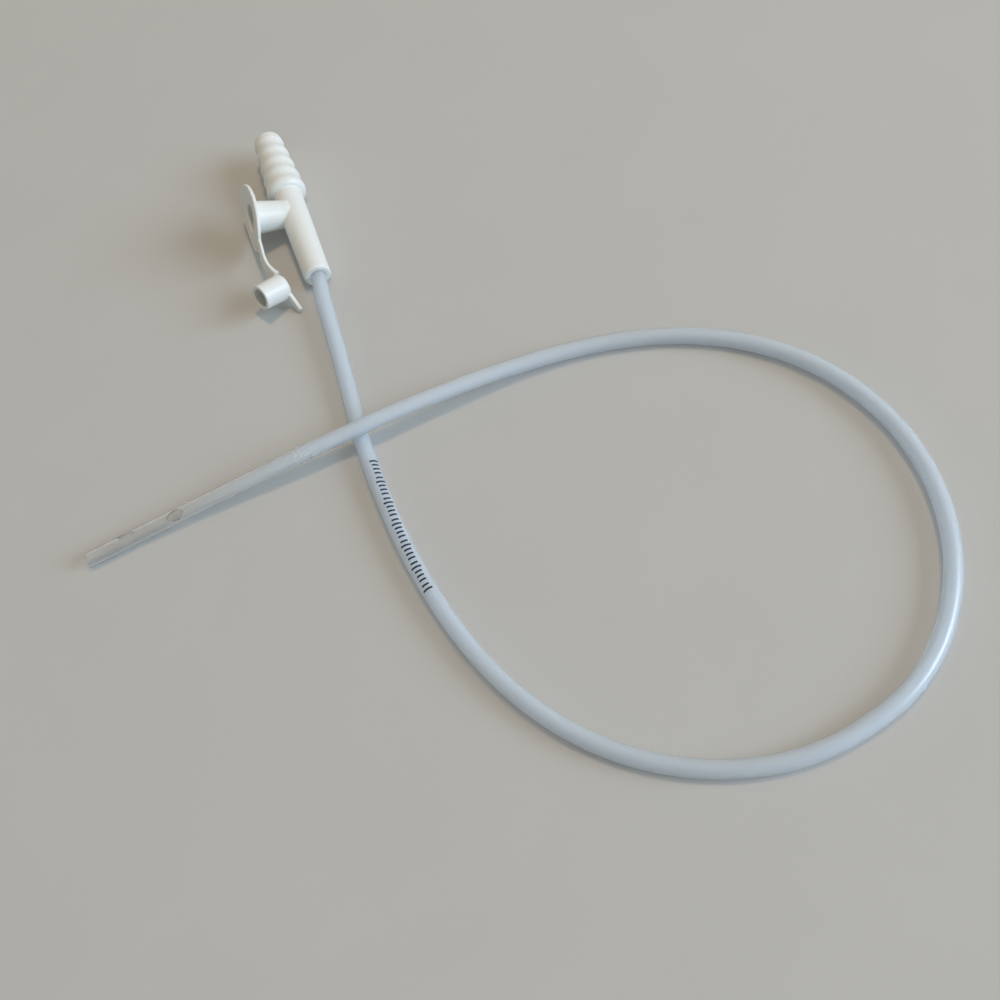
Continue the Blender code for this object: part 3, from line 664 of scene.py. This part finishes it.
class CATHETER_OT_strap(bpy.types.Operator):
    """Make the flexible strap that ties the cap to the thumb plate"""

    bl_idname = "catheter.strap"
    bl_label = "Strap"

    def execute(self, context):
        """Make three stretches of strap: one leaves the plate, one reaches the neck, one runs into the cap.
        """
        full = 1.0 + NECK_LENGTH / (3.0 * STRAP_BEND)
        root = self.ribbon("strap_root", *ROOT_SPAN, full)
        band = self.ribbon("strap_band", *BAND_SPAN, full)
        neck = self.ribbon("neck_flare", 1.0, full + NECK_SINK, full)
        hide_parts("cap_strap")
        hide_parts("strap_neck")
        tuple(self.centre(0.0))
        tuple(self.centre(0.45))
        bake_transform(root)
        tuple(self.centre(0.84))
        tuple(self.centre(1.0))
        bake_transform(band)
        tuple(self.centre(1.02))
        tuple(self.centre(full))
        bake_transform(neck)
        return {"FINISHED"}

    def centre(self, t):
        """Return the strap's centre line at a share of its band; past the ends it runs straight on."""
        inside = min(max(t, 0.0), 1.0)
        handles = (STRAP_START, STRAP_START + STRAP_START_WAY * STRAP_BEND,
                   STRAP_END + STRAP_END_WAY * STRAP_BEND, STRAP_END)
        weights = ((1 - inside) ** 3, 3 * inside * (1 - inside) ** 2,
                   3 * inside ** 2 * (1 - inside), inside ** 3)
        point = Vector()
        for handle, weight in zip(handles, weights):
            point += handle * weight
        if t < 0.0:
            point += STRAP_START_WAY * t * 3.0 * STRAP_BEND
        if t > 1.0:
            point -= STRAP_END_WAY * (t - 1.0) * 3.0 * STRAP_BEND
        return point

    def ribbon(self, name, start, end, full):
        """Return a stretch of the strap with rounded edges, which flares where it runs into the cap."""
        sizes = bpy.context.scene.catheter_mouldings
        steps = 26
        around = 20
        bm = bmesh.new()
        rings = []
        for k in range(steps + 1):
            t = start + (end - start) * k / steps
            way = (self.centre(t + NEARBY) - self.centre(t - NEARBY)).normalized()
            across = STRAP_START_ACROSS.lerp(STRAP_END_ACROSS, min(max(t, 0.0), 1.0))
            across = (across - way * across.dot(way)).normalized()
            face = way.cross(across)
            flare = max(0.0, (t - FLARE_START) / (full - FLARE_START)) ** 2.0
            width = sizes.strap_width + sizes.strap_flare * flare
            thickness = sizes.strap_thickness * (1.0 + FLARE_THICKENING * flare)
            ring = []
            for j in range(around):
                angle = 2.0 * math.pi * (j + 0.5) / around
                u = math.copysign(abs(math.cos(angle)) ** EDGE_POWER, math.cos(angle))
                v = math.copysign(abs(math.sin(angle)) ** FACE_POWER, math.sin(angle))
                sideways = across * 0.5 * width * u
                outwards = face * 0.5 * thickness * v
                ring.append(bm.verts.new(self.centre(t) + sideways + outwards))
            rings.append(ring)
        for ring, following in zip(rings, rings[1:]):
            for j in range(around):
                turn = (j + 1) % around
                bm.faces.new((ring[j], ring[turn], following[turn], following[j]))
        bm.faces.new(reversed(rings[0]))
        bm.faces.new(rings[-1])
        bmesh.ops.recalc_face_normals(bm, faces=bm.faces)
        piece = put(name, mesh_from(bm, name), shared(moulded_polyethylene))
        piece.data.set_sharp_from_angle(angle=STRAP_CREASE)
        return piece


class CATHETER_OT_stage(bpy.types.Operator):
    """Set the camera, the lights and the pale surface underneath"""

    bl_idname = "catheter.stage"
    bl_label = "Stage"

    def execute(self, context):
        """Make the camera at the viewing angle, two soft lights, the light all round and the surface."""
        self.camera(context)
        levels = context.scene.catheter_stage
        colours = context.scene.catheter_colours
        self.lamp("window_light", WINDOW_PLACE, levels.window, colours.daylight)
        high = self.lamp("high_light", HIGH_PLACE, levels.high, colours.lamp)
        # it only shapes shade and shadow: the gloss shows the window light alone
        high.visible_glossy = False
        high.visible_transmission = False
        self.room(context, levels.room, colours)
        bm = bmesh.new()
        bmesh.ops.create_grid(bm, x_segments=1, y_segments=1, size=SURFACE_REACH)
        surface = put("pale_surface", mesh_from(bm, "pale_surface"), shared(matt_laminate))
        surface.location.z = -SURFACE_DROP
        context.scene.view_settings.view_transform = "Standard"
        return {"FINISHED"}

    def camera(self, context):
        """Place the camera above and in front, looking down at the loop."""
        data = bpy.data.cameras.new("view")
        data.sensor_width = SENSOR_WIDTH
        data.lens = LENS
        data.clip_start = 0.01
        data.clip_end = 20.0
        camera = bpy.data.objects.new("view", data)
        context.scene.collection.objects.link(camera)
        turn = Matrix((CAMERA_RIGHT, CAMERA_UP, CAMERA_BACK)).transposed().to_4x4()
        camera.matrix_world = Matrix.Translation(CAMERA_PLACE) @ turn
        context.scene.camera = camera

    def lamp(self, name, place, watts, tint):
        """Place one rectangular soft light that faces the object."""
        heading, elevation, distance, size = place
        data = bpy.data.lights.new(name, "AREA")
        data.shape = "RECTANGLE"
        data.size, data.size_y = size
        data.energy = watts
        data.color = linear(tint)[:3]
        lamp = bpy.data.objects.new(name, data)
        bpy.context.scene.collection.objects.link(lamp)
        rise = math.radians(elevation)
        level = Vector((heading[0], heading[1], 0.0)).normalized()
        out = level * math.cos(rise) + Vector((0.0, 0.0, math.sin(rise)))
        facing = out.to_track_quat("Z", "Y").to_matrix().to_4x4()
        lamp.matrix_world = Matrix.Translation(LIGHT_FOCUS + out * distance) @ facing
        return lamp

    def room(self, context, strength, colours):
        """Light the object from all round, and show a pale background past the surface and in its gloss."""
        world = bpy.data.worlds.new("room_light")
        world.use_nodes = True
        tree = world.node_tree
        tree.nodes.clear()
        glow = add_node(tree, "ShaderNodeBackground", {"Color": linear(colours.room), "Strength": strength})
        seen = add_node(tree, "ShaderNodeBackground", {"Color": linear(colours.backdrop), "Strength": 1.0})
        ray = add_node(tree, "ShaderNodeLightPath")
        gloss = add_node(tree, "ShaderNodeMath", {"operation": "MAXIMUM"}, {
            0: ray.outputs["Is Glossy Ray"], 1: ray.outputs["Is Transmission Ray"]})
        shown = add_node(tree, "ShaderNodeMath", {"operation": "MAXIMUM"}, {
            0: ray.outputs["Is Camera Ray"], 1: gloss.outputs["Value"]})
        mixed = add_node(tree, "ShaderNodeMixShader", {}, {
            0: shown.outputs["Value"], 1: glow.outputs["Background"], 2: seen.outputs["Background"]})
        add_node(tree, "ShaderNodeOutputWorld", {}, {"Surface": mixed.outputs["Shader"]})
        context.scene.world = world


class CATHETER_PT_panel(bpy.types.Panel):
    """Sizes, colours and steps of the catheter"""

    bl_idname = "CATHETER_PT_panel"
    bl_label = "Suction Catheter"
    bl_space_type = "VIEW_3D"
    bl_region_type = "UI"
    bl_category = "Catheter"

    def draw(self, context):
        """List the settings and the buttons."""
        layout = self.layout
        for group in GROUPS:
            box = layout.box()
            settings = getattr(context.scene, group)
            box.label(text=group.replace("_", " "))
            for name in GROUPS[group].__annotations__:
                box.prop(settings, name)
        for step in STEPS:
            layout.operator(step.bl_idname)


GROUPS = {
    "catheter_mouldings": CatheterMouldings,
    "catheter_tube": CatheterTube,
    "catheter_colours": CatheterColours,
    "catheter_stage": CatheterStage,
}
STEPS = (CATHETER_OT_stage, CATHETER_OT_tube, CATHETER_OT_marks, CATHETER_OT_connector, CATHETER_OT_cap,
         CATHETER_OT_strap)


def register():
    """Register the settings, the steps and the panel."""
    for cls in (*GROUPS.values(), *STEPS, CATHETER_PT_panel):
        bpy.utils.register_class(cls)
    for name, cls in GROUPS.items():
        setattr(bpy.types.Scene, name, PointerProperty(type=cls))


def unregister():
    """Remove the settings, the steps and the panel."""
    for name in GROUPS:
        delattr(bpy.types.Scene, name)
    for cls in (CATHETER_PT_panel, *reversed(STEPS), *reversed(list(GROUPS.values()))):
        bpy.utils.unregister_class(cls)


def main():
    """Register everything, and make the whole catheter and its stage."""
    register()
    bpy.ops.catheter.stage()
    bpy.ops.catheter.tube()
    bpy.ops.catheter.marks()
    bpy.ops.catheter.connector()
    bpy.ops.catheter.cap()
    bpy.ops.catheter.strap()
    bpy.context.view_layer.update()


if __name__ == "__main__":
    main()
